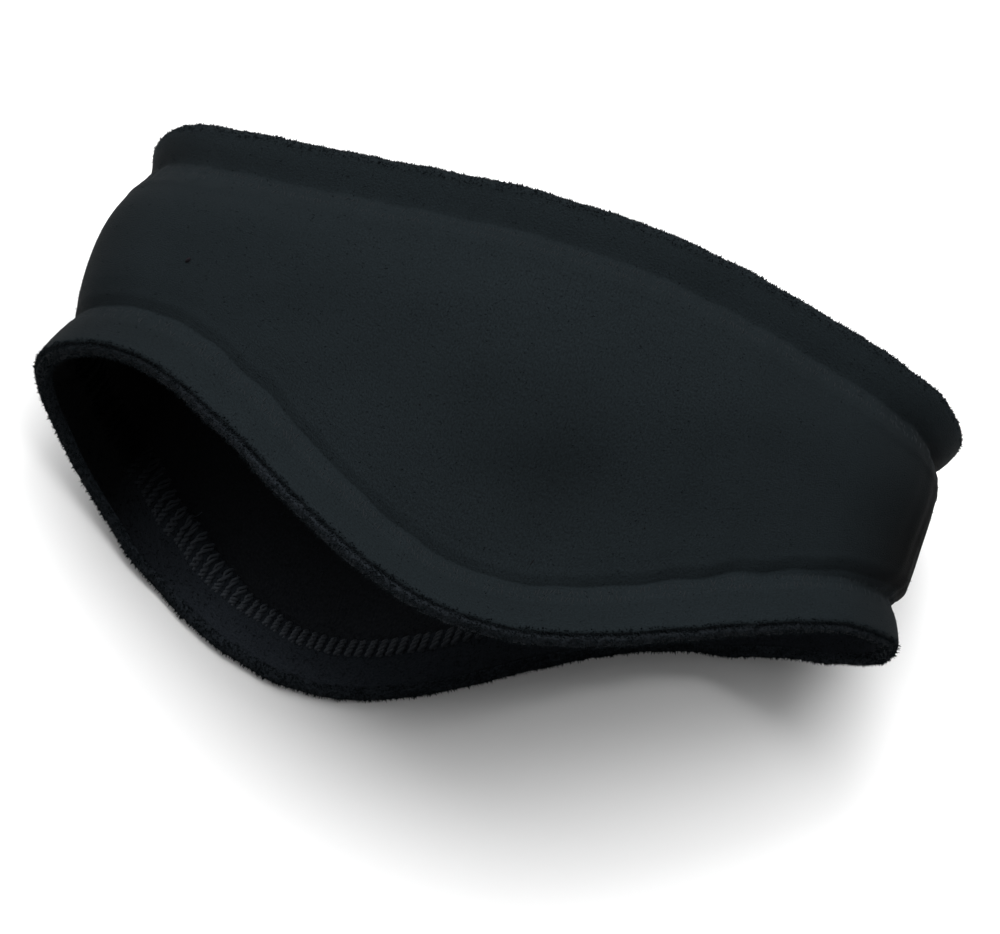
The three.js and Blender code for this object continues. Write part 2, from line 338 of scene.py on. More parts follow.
def hollow_shade(x, deep=0.0):
    """How much darker the inside is where little light reaches it: 1 less the product of the light that
    is left along X, by a ramp towards each end of the loop, and away from the rims, by deep."""
    start, length, darkest = FOREHEAD_RAMP
    ends = darkest * np.clip((-x + start) / length, 0, 1)
    start, length, darkest = NAPE_RAMP
    ends = ends + darkest * np.clip((x - start) / length, 0, 1)
    return 1 - (1 - ends) * (1 - DEEP_SHADE * np.clip(deep, 0, 1))


def settle(z):
    """The table presses the cloth flat, and it rises from there in a parabola."""
    bend = (z + FLOOR_BEND) ** 2 / (4 * FLOOR_BEND)
    return np.where(np.abs(z) < FLOOR_BEND, bend, np.maximum(z, 0))


def outer_face(ring, share, step=1.0):
    """Points of the cloth's face: the plain loop at that distance along, moved out along its normal
    by stand_out, leaned at the two ends, and settled on the table."""
    along = ring["along"]
    x, z = on_oval(along)
    before, after = on_oval(along - step), on_oval(along + step)
    length = np.hypot(after[0] - before[0], after[1] - before[1])
    out_x, out_z = (after[1] - before[1]) / length, -(after[0] - before[0]) / length
    lengthwise = np.clip(x / LOOP_HALF_LENGTH, -1, 1)
    upward = np.maximum(z / LOOP_HALF_HEIGHT, 0)
    out = stand_out(ring, share, lengthwise, upward)
    lean = FRONT_LEAN * np.maximum(-lengthwise, 0) ** 2 - BACK_LEAN * np.maximum(lengthwise, 0) ** 2
    return np.stack(
        [
            x + out_x * out - lean * (share - 0.5),
            ring["top"] - share * ring["height"],
            settle(z + out_z * out + LOOP_HALF_HEIGHT - FLATTENED),
        ],
        axis=-1,
    )


def in_cloth(along, place_rows, depths, step=1.0, share_step=0.01):
    """Points at depths under the face, square to it, and the directions out of the face there.
    place_rows turns the stations into shares of the section, one column for each row of points."""
    ring = stations(along)
    share = place_rows(ring)
    round_it = outer_face(stations(along + step), share) - outer_face(stations(along - step), share)
    lower = outer_face(ring, np.minimum(share + share_step, 1))
    upper = outer_face(ring, np.maximum(share - share_step, 0))
    outward = np.cross(round_it, lower - upper)
    outward /= np.linalg.norm(outward, axis=-1, keepdims=True)
    return outer_face(ring, share) - outward * np.asarray(depths)[..., None], outward


def add_mesh(name, points, faces, materials, face_materials=None, uv=None, shade=None):
    """Puts points in mm, a table of faces with equally many corners, their materials, their uv places
    in metres and the points' shade into a smooth mesh object."""
    mesh = bpy.data.meshes.new(name)
    mesh.vertices.add(len(points))
    mesh.vertices.foreach_set("co", np.asarray(points * MM, np.float32).ravel())
    mesh.loops.add(faces.size)
    mesh.loops.foreach_set("vertex_index", np.asarray(faces, np.int32).ravel())
    mesh.polygons.add(len(faces))
    mesh.polygons.foreach_set("loop_start", np.arange(0, faces.size, faces.shape[1], dtype=np.int32))
    mesh.polygons.foreach_set("use_smooth", np.ones(len(faces), bool))
    for material in materials:
        mesh.materials.append(material)
    if face_materials is not None:
        mesh.polygons.foreach_set("material_index", np.asarray(face_materials, np.int32))
    if uv is not None:
        mesh.uv_layers.new(name="cloth").uv.foreach_set("vector", np.asarray(uv, np.float32).ravel())
    if shade is not None:
        values = mesh.attributes.new("shade", "FLOAT", "POINT").data
        values.foreach_set("value", np.asarray(shade, np.float32))
    mesh.update(calc_edges=True)
    mesh.validate()
    piece = bpy.data.objects.new(name, mesh)
    bpy.context.scene.collection.objects.link(piece)
    return piece


def closed_grid(name, points, materials, row_materials=None, shade=None):
    """A closed tube of cloth from a grid of points in mm, joined to itself along the loop and round
    its section. Its uv runs along the loop and round the section, in metres of cloth."""
    stations_count, rows_count = points.shape[:2]
    i = np.arange(stations_count)[:, None] + np.zeros((1, rows_count), int)
    j = np.arange(rows_count)[None, :] + np.zeros((stations_count, 1), int)
    corners = [(i, j), (i + 1, j), (i + 1, j + 1), (i, j + 1)]
    faces = np.stack([a % stations_count * rows_count + b % rows_count for a, b in corners], axis=-1)
    steps = np.linalg.norm(np.roll(points, -1, axis=1) - points, axis=-1).mean(axis=0)
    round_section = np.concatenate([[0], np.cumsum(steps)]) * MM
    station_step = GIRTH * MM / stations_count
    uv = np.stack([np.stack([a * station_step, round_section[b]], axis=-1) for a, b in corners], axis=2)
    rows = np.zeros(rows_count, int) if row_materials is None else row_materials
    face_materials = np.broadcast_to(rows, (stations_count, rows_count)).ravel()
    shade = np.zeros(points.shape[:2]) if shade is None else shade
    places, faces = points.reshape(-1, 3), faces.reshape(-1, 4)
    return add_mesh(name, places, faces, materials, face_materials, uv, shade.ravel())


def rgb(hex_colour):
    """Linear colour of an sRGB hex value such as "1f2529"."""
    parts = [int(hex_colour[i : i + 2], 16) / 255 for i in (0, 2, 4)]
    return [p / 12.92 if p <= 0.04045 else ((p + 0.055) / 1.055) ** 2.4 for p in parts] + [1.0]


def add_node(tree, kind, settings=(), inputs=()):
    """Adds a shader node, sets its settings, and fills its inputs with values or with other sockets."""
    node = tree.nodes.new(kind)
    for key, value in dict(settings).items():
        setattr(node, key, value)
    for key, value in dict(inputs).items():
        if isinstance(value, bpy.types.NodeSocket):
            tree.links.new(value, node.inputs[key])
        else:
            node.inputs[key].default_value = value
    return node


def shaded(tree, colour):
    """The colour times 1 - shade, from the points' own shade."""
    shade = add_node(tree, "ShaderNodeAttribute", {"attribute_name": "shade"}).outputs["Fac"]
    free = {"data_type": "RGBA", "clamp_factor": False}
    return add_node(tree, "ShaderNodeMix", free, {0: shade, 6: colour, 7: rgb("000000")}).outputs[2]


def brushed_fleece(name, dark, light, grain_mm, streak_mm, relief_mm):
    """Polyester fleece: a mat of fine fibres that scatters light in all directions, so that it has no
    gloss. Grains of nap, streaks where brushing combed them along the loop, and broad cloudy patches
    where they lie another way set its colour and its relief."""
    material = bpy.data.materials.new(name)
    material.use_nodes = True
    tree = material.node_tree
    shader = tree.nodes["Principled BSDF"]
    cloth = add_node(tree, "ShaderNodeUVMap", {"uv_map": "cloth"}).outputs["UV"]
    grain_inputs = {"Vector": cloth, "Scale": 1 / (grain_mm * MM), "Detail": 3.0, "Roughness": 0.65}
    grain = add_node(tree, "ShaderNodeTexNoise", inputs=grain_inputs).outputs["Fac"]
    streak_scale = (1 / (streak_mm * MM), 4 / (streak_mm * MM), 1.0)
    combing = {"Vector": cloth, "Scale": streak_scale, "Rotation": (0, 0, 0.12)}
    combed = add_node(tree, "ShaderNodeMapping", inputs=combing).outputs["Vector"]
    streak_inputs = {"Vector": combed, "Scale": 1.0, "Detail": 2.0}
    streaks = add_node(tree, "ShaderNodeTexNoise", inputs=streak_inputs).outputs["Fac"]
    # Patches where the nap lies another way are about 15 mm across
    patch_inputs = {"Vector": cloth, "Scale": 65.0, "Detail": 3.0}
    patches = add_node(tree, "ShaderNodeTexNoise", inputs=patch_inputs).outputs["Fac"]
    scaled = {"operation": "MULTIPLY_ADD"}
    relief = add_node(tree, "ShaderNodeMath", scaled, {0: streaks, 1: 0.12, 2: grain}).outputs[0]
    bump_inputs = {"Strength": 1.0, "Distance": relief_mm * MM, "Height": relief}
    bump = add_node(tree, "ShaderNodeBump", inputs=bump_inputs).outputs["Normal"]
    patch_tone = add_node(tree, "ShaderNodeMath", scaled, {0: patches, 1: 0.2, 2: -0.94}).outputs[0]
    scaled["use_clamp"] = True
    tone = add_node(tree, "ShaderNodeMath", scaled, {0: relief, 1: 2.4, 2: patch_tone}).outputs[0]
    mixed = {"data_type": "RGBA"}
    colour = add_node(tree, "ShaderNodeMix", mixed, {0: tone, 6: rgb(dark), 7: rgb(light)}).outputs[2]
    # The points' painted shade darkens this colour, and lightens it where the shade is below 0
    tree.links.new(shaded(tree, colour), shader.inputs["Base Color"])
    tree.links.new(bump, shader.inputs["Normal"])
    shader.inputs["Roughness"].default_value = 0.95
    shader.inputs["Specular IOR Level"].default_value = 0.06
    return material


fleece_face = brushed_fleece("brushed_polyester_fleece", "0c1012", "191f22", 0.5, 3.2, 0.3)
# The back's colour is lighter than the face's: partly the softer back's own tone, partly painted light
# inside the loop
fleece_back = brushed_fleece("soft_fleece_back", "17191d", "2b2e32", 0.55, 3.2, 0.35)
# The turned-in face is the face's cloth but has a lighter colour: painted light inside the loop
fleece_inner_hem = brushed_fleece("turned_in_fleece_face", "1b1f24", "2d3238", 0.55, 3.2, 0.35)
# At the folds the nap stands open. Its colour spans far from dark to light: partly the open nap's own grain,
# partly painted shade in the gaps between tufts and painted light on them
fleece_edge = brushed_fleece("bent_open_fleece_edge", "111417", "31373d", 0.65, 3.2, 0.5)


FOLD_SQUARENESS = 2.5
CREASE_TURN = 0.26 * np.pi
CREASE_HALF_WIDTH = 0.3
SHORTEST_CLUMP, LONGEST_CLUMP, CLUMP_WAVES = 2.2, 5.0, 24


def fold(steps, crease_depth=0.0, clump_height=0.0):
    """The fold at a rim, from the outer face to the inner one, as distances from the rim and depths:
    a superellipse a little squarer than a half circle, with a crease near its outer corner, where the
    face's cloth breaks over into the fold. The crease is a narrow bell, deep square to the fold. Clumps
    of nap raise and sink the fold's middle by waves."""
    turn = np.pi * (np.arange(steps) + 0.5) / steps
    radius = HEM_THICKNESS / 2
    power = 2 / FOLD_SQUARENESS
    distance = radius * (1 - np.sin(turn) ** power)
    depth = radius * (1 - np.sign(np.cos(turn)) * np.abs(np.cos(turn)) ** power)
    crease = crease_depth * np.exp(-(((turn - CREASE_TURN) / CREASE_HALF_WIDTH) ** 2))
    clumps = waves(ALONG[:, None], turn * radius, SHORTEST_CLUMP, LONGEST_CLUMP, seed=7, count=CLUMP_WAVES)
    clumps = clumps * np.sin(turn)
    sink = crease - clump_height * clumps
    return distance + sink * np.sin(turn), depth + sink * np.cos(turn)


STATIONS = 520
FOLD_STEPS = 26
# How dark the bottom fold's colour is painted as shade: on the upper wall, more towards its outer edge, and
# on the under wall
EDGE_START = 4
UPPER_EDGE_SHADE = 0.3
OUTER_EDGE_SHADE = 0.24
UNDER_EDGE_SHADE = 0.75
ALONG = GIRTH * np.arange(STATIONS) / STATIONS
# The rows lie closer together near the seams, where the face has finer shapes
TOP_HEM_ROWS = np.concatenate(
    [np.linspace(3.3, 9.2, 7), np.linspace(9.8, 12.6, 9), np.linspace(13.3, 16.6, 6)]
)
BOTTOM_HEM_ROWS = np.concatenate([np.linspace(3.3, 13.5, 12), np.linspace(14.0, 16.6, 8)])
BODY_STEPS = np.linspace(0, 1, 64)
ROW_CROWDING = 0.62
BODY_PORTIONS = BODY_STEPS - ROW_CROWDING * np.sin(2 * np.pi * BODY_STEPS) / (2 * np.pi)
BACK_PORTIONS = np.linspace(0, 1, 28)
HIDDEN_ROWS = np.array([4.5, 9.0, 13.5])
CREASE_DEPTH = 1.0 + 0.3 * waves(ALONG, 0.0, 3.5, 14, seed=6)[:, None]
# The clumps are higher on the upper wall, where the cloth is bent round more sharply
CLUMP_HEIGHT = 0.12 + 0.16 * np.clip(on_oval(ALONG)[1] / LOOP_HALF_HEIGHT + 0.5, 0, 1)[:, None]
CREASED_DISTANCES, CREASED_DEPTHS = fold(FOLD_STEPS, CREASE_DEPTH, CLUMP_HEIGHT)
FOLD_DISTANCES, FOLD_DEPTHS = fold(FOLD_STEPS, clump_height=0.15)


def band_rows(ring):
    """The band's closed section: down its face, round the bottom fold, up its back, round the top."""
    return np.concatenate(
        [
            from_top(ring, TOP_HEM_ROWS),
            on_body(ring, BODY_PORTIONS),
            from_bottom(ring, BOTTOM_HEM_ROWS[::-1]),
            from_bottom(ring, CREASED_DISTANCES),
            from_bottom(ring, HIDDEN_ROWS),
            on_body(ring, BACK_PORTIONS[::-1]),
            from_top(ring, HIDDEN_ROWS[::-1]),
            from_top(ring, FOLD_DISTANCES[:, ::-1]),
        ],
        axis=1,
    )


FACE_COUNT = len(TOP_HEM_ROWS) + len(BODY_PORTIONS) + len(BOTTOM_HEM_ROWS)
BACK_COUNT = 2 * len(HIDDEN_ROWS) + len(BACK_PORTIONS)
BAND_DEPTHS = np.concatenate(
    [
        np.zeros((STATIONS, FACE_COUNT)),
        CREASED_DEPTHS,
        np.full((STATIONS, BACK_COUNT), CLOTH),
        FOLD_DEPTHS[:, ::-1],
    ],
    axis=1,
)

band_points = in_cloth(ALONG, band_rows, BAND_DEPTHS)[0]
# The frame's origin is under the middle of the headband's box
band_corners = band_points.reshape(-1, 3)
SHIFT = -(band_corners.min(axis=0) + band_corners.max(axis=0)) / 2 * np.array([1, 1, 0])
band_points = band_points + SHIFT

band_row_materials = np.zeros(band_points.shape[1], int)
band_row_materials[FACE_COUNT + FOLD_STEPS : -FOLD_STEPS] = 1
band_row_materials[FACE_COUNT + EDGE_START : FACE_COUNT + FOLD_STEPS] = 2
band_ring = stations(ALONG)
OVAL_PLACES = on_oval(ALONG)
band_shade = painted_face_shade(band_ring, band_rows(band_ring))
inner_share = band_rows(band_ring)[:, FACE_COUNT + FOLD_STEPS :]
from_rim = np.minimum(inner_share, 1 - inner_share) * band_ring["height"]
band_shade[:, FACE_COUNT + FOLD_STEPS :] = hollow_shade(
    OVAL_PLACES[0][:, None], (from_rim - HEM_DEPTH) / DEEP_REACH
)
band_shade[:, -FOLD_STEPS:] *= np.clip(1 - 2.5 * np.linspace(0, 1, FOLD_STEPS), 0, 1)
# Painted shade on the bottom fold: all over it on the upper wall, and on the under wall only at its outer
# edge
upper = np.clip(OVAL_PLACES[1] / LOOP_HALF_HEIGHT + 0.5, 0, 1)[:, None]
fold_way = np.linspace(1, 0, FOLD_STEPS - EDGE_START)
fold_painted_shade = upper * (UPPER_EDGE_SHADE + OUTER_EDGE_SHADE * fold_way)
fold_painted_shade = fold_painted_shade + (1 - upper) * UNDER_EDGE_SHADE * fold_way
lit = (1 - fold_painted_shade) * (1 - hollow_shade(OVAL_PLACES[0])[:, None] / 2)
band_shade[:, FACE_COUNT + EDGE_START : FACE_COUNT + FOLD_STEPS] = 1 - lit
band_materials = [fleece_face, fleece_back, fleece_edge]
band = closed_grid("fleece_band", band_points, band_materials, band_row_materials, band_shade)
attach(band, "root")
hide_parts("band")


# The turned-in hems
# The same cloth, turned in behind each rim, so that its face shows inside too, and held down by the
# seam. Its cut end lies under the seam's thread, and the seam presses it thin there.

HEM_SEEN_ROWS = np.concatenate([[2.55, 3.0], np.linspace(4.0, 17.0, 22)])
HEM_HIDDEN_ROWS = np.linspace(17.0, 2.55, 7)
HEM_ROW_PLACES = np.concatenate([HEM_SEEN_ROWS, HEM_HIDDEN_ROWS])


PRESSED_FROM = 12.5
PRESSED_OVER = 4.5
PRESSED_BY = 2.3


def hem_depth(distance):
    """Depth of the turned-in layer's seen face: the full hem, pressed thinner near its cut end by the
    square of a ramp."""
    return HEM_THICKNESS - PRESSED_BY * np.clip((distance - PRESSED_FROM) / PRESSED_OVER, 0, 1) ** 2


HEM_DEPTHS = np.concatenate([hem_depth(HEM_SEEN_ROWS), np.full(len(HEM_HIDDEN_ROWS), CLOTH + LAYER_GAP)])
hem_grids = {}

# The top hem is shorter than the loop's girth and the bottom hem, along the ear flaps, is longer
for hem_name, hem_node, rim, hem_length in [
    ("top_hem_layer", "top_hem", from_top, 0.51),
    ("bottom_hem_layer", "bottom_hem", from_bottom, 0.57),
]:
    hem_points = in_cloth(ALONG, lambda ring: rim(ring, HEM_ROW_PLACES), HEM_DEPTHS)[0] + SHIFT
    # Both sections have to run the same way round for both hems' faces to point outwards
    hem_points = hem_points[:, ::-1] if rim is from_top else hem_points
    hem_grids[hem_node] = hem_points
    hem_shade = np.broadcast_to(hollow_shade(OVAL_PLACES[0])[:, None], hem_points.shape[:2])
    hem = closed_grid(hem_name, hem_points, [fleece_inner_hem], shade=hem_shade)
    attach(hem, "root")
    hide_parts(hem_node)


# The seams on the face
# Each hem is held by a flat seam 6 mm wide. On the face its polyester thread shows as two columns of
# small stitches across the seam, sunk into the nap, which hides many of them.

STITCH_PITCH = 0.95
STITCH_LENGTH = 2.5
STITCH_RADIUS = 0.17
STITCH_SIDES = 5
# Limits of each stitch's share of the full length, its slant, its bow and its depth in the nap, in mm
# where they are lengths, and how far it strays across the seam and along it
STITCH_SHARES = (0.6, 1.2)
STITCH_SLANTS = (-0.45, 0.6)
STITCH_BOWS = (-0.3, 0.3)
STITCH_DEPTHS = (0.02, 0.3)
STITCH_STRAY = 0.35
PITCH_STRAY = 0.16
STITCH_RISE = 0.1
STITCH_DIVE = 0.22


def on_cloth(along, rim, distance, depth):
    """Places in the cloth and the directions out of its face, for arrays of distances along the loop,
    distances square to a rim, and depths under the face."""
    along, distance, depth = np.broadcast_arrays(along, distance, depth)
    rows = distance.reshape(-1, 1)
    places, outward = in_cloth(along.ravel(), lambda ring: rim(ring, rows), depth.reshape(-1, 1))
    return places.reshape(along.shape + (3,)) + SHIFT, outward.reshape(along.shape + (3,))


def swept_threads(name, paths, ups, radii, sides, material, shade=0.0):
    """Threads along paths, one path a row: round each path's place a ring of points as wide as the
    thread there, closed at both ends by the path's own first and last places. Each has one shade."""
    count, length = paths.shape[:2]
    tangents = np.gradient(paths, axis=1)
    tangents /= np.linalg.norm(tangents, axis=-1, keepdims=True)
    across = np.cross(tangents, ups)
    across /= np.linalg.norm(across, axis=-1, keepdims=True)
    upright = np.cross(across, tangents)
    turn = 2 * np.pi * np.arange(sides)[:, None] / sides
    spokes = np.cos(turn) * upright[:, 1:-1, None] + np.sin(turn) * across[:, 1:-1, None]
    rings = paths[:, 1:-1, None] + spokes * np.asarray(radii)[None, 1:-1, None, None]
    points = np.concatenate([paths[:, :1], rings.reshape(count, -1, 3), paths[:, -1:]], axis=1)
    k = np.arange(sides)
    after = (k + 1) % sides
    first = np.stack([np.zeros(sides, int), 1 + after, 1 + k], axis=1)
    here = 1 + sides * np.arange(length - 3)[:, None]
    one = np.stack([here + k, here + after, here + sides + after], axis=-1).reshape(-1, 3)
    two = np.stack([here + k, here + sides + after, here + sides + k], axis=-1).reshape(-1, 3)
    end = 1 + sides * (length - 2)
    last = np.stack([np.full(sides, end), end - sides + k, end - sides + after], axis=1)
    thread_faces = np.concatenate([first, one, two, last])
    faces = thread_faces[None] + points.shape[1] * np.arange(count)[:, None, None]
    shades = np.repeat(np.broadcast_to(shade, count), points.shape[1])
    return add_mesh(name, points.reshape(-1, 3), faces.reshape(-1, 3), [material], shade=shades)


def sewing_thread(name, colour, roughness, gloss=0.15):
    """Spun polyester thread: smoother than the nap round it, so that it catches a little more light."""
    material = bpy.data.materials.new(name)
    material.use_nodes = True
    tree = material.node_tree
    shader = tree.nodes["Principled BSDF"]
    place = add_node(tree, "ShaderNodeTexCoord").outputs["Object"]
    # Plies of 0.15 mm are too fine to show, so this shading of them is 0.5 mm
    plies = add_node(
        tree, "ShaderNodeTexNoise", inputs={"Vector": place, "Scale": 2000.0, "Detail": 1.0}
    ).outputs["Fac"]
    bump = add_node(
        tree, "ShaderNodeBump", inputs={"Strength": 0.5, "Distance": 0.0001, "Height": plies}
    ).outputs["Normal"]
    tree.links.new(bump, shader.inputs["Normal"])
    tone = {"operation": "MULTIPLY_ADD"}
    light = add_node(tree, "ShaderNodeMath", tone, {0: plies, 1: 0.6, 2: 0.2}).outputs[0]
    ends = {0: light, 6: [0.7 * part for part in rgb(colour)[:3]] + [1.0], 7: rgb(colour)}
    plied = add_node(tree, "ShaderNodeMix", {"data_type": "RGBA"}, ends).outputs[2]
    tree.links.new(shaded(tree, plied), shader.inputs["Base Color"])
    shader.inputs["Roughness"].default_value = roughness
    # Its gloss falls with the shade, so that the thread deep in the loop doesn't glint
    shade = add_node(tree, "ShaderNodeAttribute", {"attribute_name": "shade"}).outputs["Fac"]
    shine = add_node(tree, "ShaderNodeMath", tone, {0: shade, 1: -gloss, 2: gloss}).outputs[0]
    tree.links.new(shine, shader.inputs["Specular IOR Level"])
    return material


face_thread = sewing_thread("face_polyester_thread", "181c1f", 0.85)
STITCH_COUNT = round(GIRTH / STITCH_PITCH)

for stitch_name, rim, columns, slot, seed in [
    ("top_seam_stitches", from_top, (12.7, 15.3), "top_hem", 11),
    ("bottom_seam_stitches", from_bottom, (14.0, 11.7), "bottom_hem", 12),
]:
    random = np.random.default_rng(seed)
    spacing = GIRTH / STITCH_COUNT
    firsts = (np.arange(STITCH_COUNT) + random.uniform(-PITCH_STRAY, PITCH_STRAY, STITCH_COUNT)) * spacing
    both = np.stack([firsts, firsts + 0.5 * spacing])[..., None]
    way = np.linspace(-0.5, 0.5, 6)
    each = (2, STITCH_COUNT, 1)
    length = STITCH_LENGTH * random.uniform(*STITCH_SHARES, each)
    slant = random.uniform(*STITCH_SLANTS, each)
    bow = random.uniform(*STITCH_BOWS, each)
    sunk = random.uniform(*STITCH_DEPTHS, each)
    stray = random.uniform(-STITCH_STRAY, STITCH_STRAY, each)
    distance = np.array(columns)[:, None, None] + length * way + stray
    depth = sunk - STITCH_RISE + STITCH_DIVE * (2 * way) ** 2
    paths, ups = on_cloth(both + slant * length * way + bow * (2 * way) ** 2, rim, distance, depth)
    radii = STITCH_RADIUS * np.array([0, 0.8, 1, 1, 0.8, 0])
    stitches = swept_threads(
        stitch_name, paths.reshape(-1, 6, 3), ups.reshape(-1, 6, 3), radii, STITCH_SIDES, face_thread
    )
    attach(stitches, "root")


# The seams on the inside
# There the looper thread runs to and fro across the seam and binds the hem's cut end: one rung of
# looped thread each 2.6 mm, so that the rungs nearly touch each other.

RUNG_PITCH = 2.6
RUNG_ENDS = (11.2, 17.2)
RUNG_LOOPS = 4.5
LOOP_SWING = 0.53
LOOPER_RADIUS = 0.55
RUNG_STEPS = 18
RUNG_STRAY = 0.07
START_STRAY = 0.25
RUNG_SLANTS = (0.25, 0.75)
STRAND_HEIGHT = 0.02
CROSSING_HEIGHT = 0.32
DIVE_DEPTH = 0.7
DIVE_POWER = 8

# The looper thread's colour is lighter than the cloth's: partly the thread's own tone, partly a painted
# highlight on its loops
looper_thread = sewing_thread("looper_polyester_thread", "34393f", 0.5, gloss=0.2)
RUNG_COUNT = round(GIRTH / RUNG_PITCH)

for ladder_name, rim, slot, seed in [
    ("top_seam_looper_thread", from_top, "top_hem", 21),
    ("bottom_seam_looper_thread", from_bottom, "bottom_hem", 22),
]:
    random = np.random.default_rng(seed)
    rung = (np.arange(RUNG_COUNT) + random.uniform(-RUNG_STRAY, RUNG_STRAY, RUNG_COUNT)) * GIRTH / RUNG_COUNT
    way = np.linspace(0, 1, RUNG_STEPS)
    strand = np.array([0, np.pi])[:, None, None]
    start = random.uniform(-START_STRAY, START_STRAY, (1, RUNG_COUNT, 1))
    phase = np.pi * RUNG_LOOPS * way + strand + start
    slant = random.uniform(*RUNG_SLANTS, (1, RUNG_COUNT, 1))
    along = rung[None, :, None] + LOOP_SWING * np.sin(phase) + slant * (way - 0.5)
    distance = RUNG_ENDS[0] + (RUNG_ENDS[1] - RUNG_ENDS[0]) * way + 0 * along
    # Each strand passes over the other where they cross, and dives into the cloth at both ends
    lift = STRAND_HEIGHT + CROSSING_HEIGHT * np.cos(phase) - DIVE_DEPTH * np.abs(2 * way - 1) ** DIVE_POWER
    paths, ups = on_cloth(along, rim, distance, hem_depth(distance) + lift)
    radii = LOOPER_RADIUS * np.concatenate([[0, 0.8], np.ones(RUNG_STEPS - 4), [0.8, 0]])
    rung_shade = np.tile(hollow_shade(on_oval(rung)[0]), 2)
    ladder = swept_threads(
        ladder_name, paths.reshape(-1, RUNG_STEPS, 3), ups.reshape(-1, RUNG_STEPS, 3), radii, 5,
        looper_thread, rung_shade,
    )
    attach(ladder, "root")


# The nap
# Brushing raises loose fibres from the cloth, which cling together in small tufts. They lie flat on
# the face, and stand up at the folds, where the cloth is bent open.


def scatter(points, rows, count, seed):
    """Places spread evenly by area over some rows of a grid of cloth: a cell is drawn with a chance in
    proportion to its area, then a place in it. Gives places, normals, and directions along the loop."""
    random = np.random.default_rng(seed)
    corner = points[:, rows]
    along = np.roll(points, -1, axis=0)[:, rows] - corner
    down = np.roll(points, -1, axis=1)[:, rows] - corner
    normal = np.cross(along, down)
    chances = np.cumsum(np.linalg.norm(normal, axis=-1).ravel())
    pick = np.searchsorted(chances, random.uniform(0, 0.999999 * chances[-1], count))
    corner, along, down, normal = (grid.reshape(-1, 3)[pick] for grid in (corner, along, down, normal))
    u, v = random.uniform(0, 1, (2, count, 1))
    normal /= np.linalg.norm(normal, axis=-1, keepdims=True)
    direction = along / np.linalg.norm(along, axis=-1, keepdims=True)
    return corner + u * along + v * down, normal, direction


def tufts(name, spread, length, width, lift, comb, seed, material, inside=False):
    """Closed three-sided tufts: a small triangle sunk in the cloth, drawn out to a tip that lies at
    length * (sin(lift) * normal + cos(lift) * heading). Headings turn from the comb's direction by a
    seeded angle, and lifts lie between two limits, by a seeded share to the power lift[2]. Tufts that
    lie inside the loop are shaded as the cloth there is."""
    places, normals, directions = spread
    count = len(places)
    random = np.random.default_rng(seed)
    turn = comb[0] + comb[1] * random.standard_normal((count, 1))
    heading = np.cos(turn) * directions + np.sin(turn) * np.cross(normals, directions)
    sideways = np.cross(normals, heading)
    tilt = np.radians(lift[0] + (lift[1] - lift[0]) * random.uniform(0, 1, (count, 1)) ** lift[2])
    reach = random.uniform(length[0], length[1], (count, 1))
    half = 0.5 * random.uniform(width[0], width[1], (count, 1))
    tip = places + reach * (np.sin(tilt) * normals + np.cos(tilt) * heading)
    root = places - 0.12 * normals
    corners = [root + half * sideways, root - half * sideways, root - 0.8 * half * heading, tip]
    sides = np.array([[1, 0, 3], [2, 1, 3], [0, 2, 3], [0, 1, 2]])
    faces = sides[None] + 4 * np.arange(count)[:, None, None]
    shade = np.repeat(hollow_shade(places[:, 0]), 4) if inside else None
    points = np.stack(corners, axis=1).reshape(-1, 3)
    piece = add_mesh(name, points, faces.reshape(-1, 3), [material], shade=shade)
    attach(piece, "root")


def nap_fibres(name, colour):
    """Loose fleece fibres: dull polyester that scatters light softly, in the cloth's own colour."""
    material = bpy.data.materials.new(name)
    material.use_nodes = True
    tree = material.node_tree
    shader = tree.nodes["Principled BSDF"]
    place = add_node(tree, "ShaderNodeTexCoord").outputs["Object"]
    # Tufts differ a little in tone, in patches of about 1 mm
    tone = add_node(
        tree, "ShaderNodeTexNoise", inputs={"Vector": place, "Scale": 900.0, "Detail": 2.0}
    ).outputs["Fac"]
    darker = [0.75 * part for part in rgb(colour)[:3]] + [1.0]
    mixed = add_node(
        tree, "ShaderNodeMix", {"data_type": "RGBA"}, {0: tone, 6: darker, 7: rgb(colour)}
    ).outputs[2]
    tree.links.new(shaded(tree, mixed), shader.inputs["Base Color"])
    shader.inputs["Roughness"].default_value = 1.0
    shader.inputs["Specular IOR Level"].default_value = 0.03
    return material


nap = nap_fibres("loose_fleece_nap", "151a1d")
# The tufts inside are lighter than the face's: partly the back's own tone, partly painted light inside the
# loop
inner_nap = nap_fibres("loose_inner_fleece_nap", "22262b")
ROWS_COUNT = band_points.shape[1]
FACE_ROWS = np.arange(FACE_COUNT)
BOTTOM_FOLD_ROWS = np.arange(FACE_COUNT + 1, FACE_COUNT + FOLD_STEPS - 1)
TOP_FOLD_ROWS = np.arange(ROWS_COUNT - FOLD_STEPS, ROWS_COUNT - 2)
BACK_ROWS = np.arange(FACE_COUNT + FOLD_STEPS + 3, ROWS_COUNT - FOLD_STEPS - 3)

tufts(
    "bottom_fold_nap", scatter(band_points, BOTTOM_FOLD_ROWS, 15000, seed=31),
    length=(0.5, 1.2), width=(0.3, 0.65), lift=(20, 80, 1), comb=(0.0, 1.6), seed=32, material=nap,
)
tufts(
    "top_fold_nap", scatter(band_points, TOP_FOLD_ROWS, 13000, seed=33),
    length=(0.5, 1.1), width=(0.25, 0.5), lift=(10, 75, 1.5), comb=(0.0, 1.6), seed=34, material=nap,
)
tufts(
    "face_nap", scatter(band_points, FACE_ROWS, 30000, seed=41),
    length=(0.5, 1.0), width=(0.25, 0.45), lift=(0, 40, 9), comb=(0.3, 0.9), seed=42, material=nap,
)
tufts(
    "back_nap", scatter(band_points, BACK_ROWS, 18000, seed=43),
    length=(0.5, 1.2), width=(0.3, 0.5), lift=(4, 40, 2), comb=(0.3, 1.2), seed=44, material=inner_nap,
    inside=True,
)
